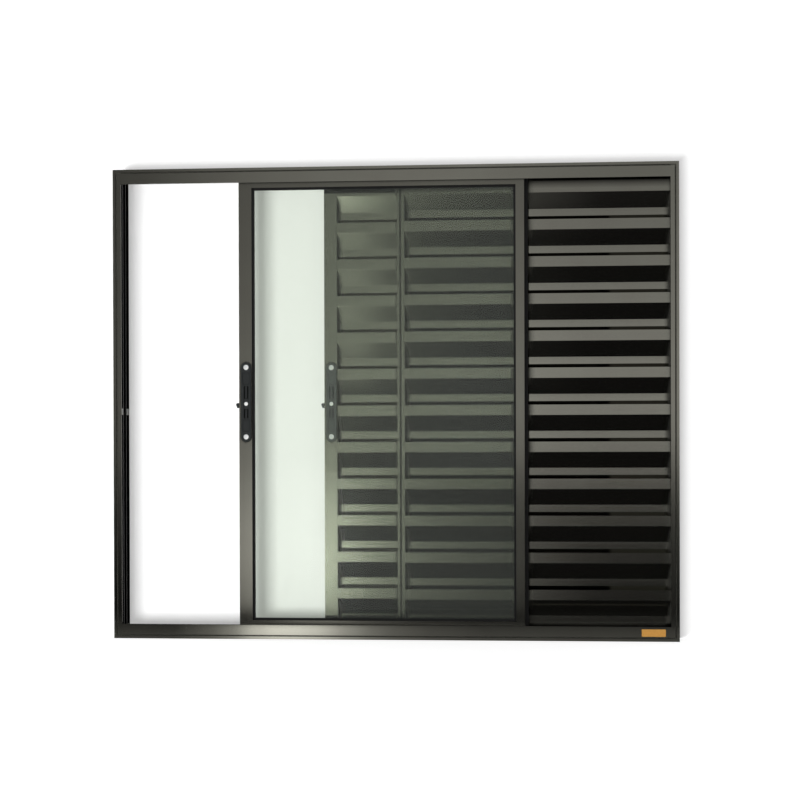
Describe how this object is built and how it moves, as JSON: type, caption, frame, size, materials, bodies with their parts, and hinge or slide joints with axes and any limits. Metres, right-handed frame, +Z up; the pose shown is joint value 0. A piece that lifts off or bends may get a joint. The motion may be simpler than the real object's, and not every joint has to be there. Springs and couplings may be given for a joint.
{
  "type": "louvred shutter window",
  "caption": "Sliding window in bronze anodised aluminium, with a fixed louvred leaf, a sliding louvred leaf and a sliding glass leaf.",
  "frame": {"origin": "middle of the frame's underside, halfway through its depth", "axes": "+X to the right as seen from the room, +Y out of the room, +Z up"},
  "size_m": [1.2, 0.08, 1],
  "materials": {
    "bronze_aluminium": "satin anodised, dark bronze",
    "glazing": "clear float glass, 4 mm",
    "black_rubber": "matt black",
    "black_plastic": "moulded, satin",
    "nylon": "moulded nylon",
    "steel": "zinc plated"
  },
  "bodies": {
    "root": {"fixed_blades": "bronze_aluminium", "fixed_bottom_rail": "bronze_aluminium", "fixed_jamb_stile": "bronze_aluminium", "fixed_leaf_blocks": "nylon", "fixed_meeting_stile": "bronze_aluminium", "fixed_top_rail": "bronze_aluminium", "frame_head": "bronze_aluminium", "frame_left_jamb": "bronze_aluminium", "frame_right_jamb": "bronze_aluminium", "frame_sill": "bronze_aluminium", "glass_bottom_rail": "bronze_aluminium", "glass_gasket": "black_rubber", "glass_interlock_seal": "black_rubber", "glass_keeper": "nylon", "glass_lock_body": "black_plastic", "glass_lock_hook": "steel", "glass_lock_knob": "steel", "glass_lock_slider": "black_plastic", "glass_lock_stile": "bronze_aluminium", "glass_meeting_stile": "bronze_aluminium", "glass_pane": "glazing", "glass_roller_housings": "nylon", "glass_rollers": "nylon", "glass_top_guides": "nylon", "glass_top_rail": "bronze_aluminium", "shutter_blades": "bronze_aluminium", "shutter_bottom_rail": "bronze_aluminium", "shutter_keeper": "nylon", "shutter_lock_body": "black_plastic", "shutter_lock_hook": "steel", "shutter_lock_knob": "steel", "shutter_lock_slider": "black_plastic", "shutter_lock_stile": "bronze_aluminium", "shutter_meeting_stile": "bronze_aluminium", "shutter_roller_housings": "nylon", "shutter_rollers": "nylon", "shutter_top_guides": "nylon", "shutter_top_rail": "bronze_aluminium", "sill_rails": "bronze_aluminium"}
  },
  "joints": []
}
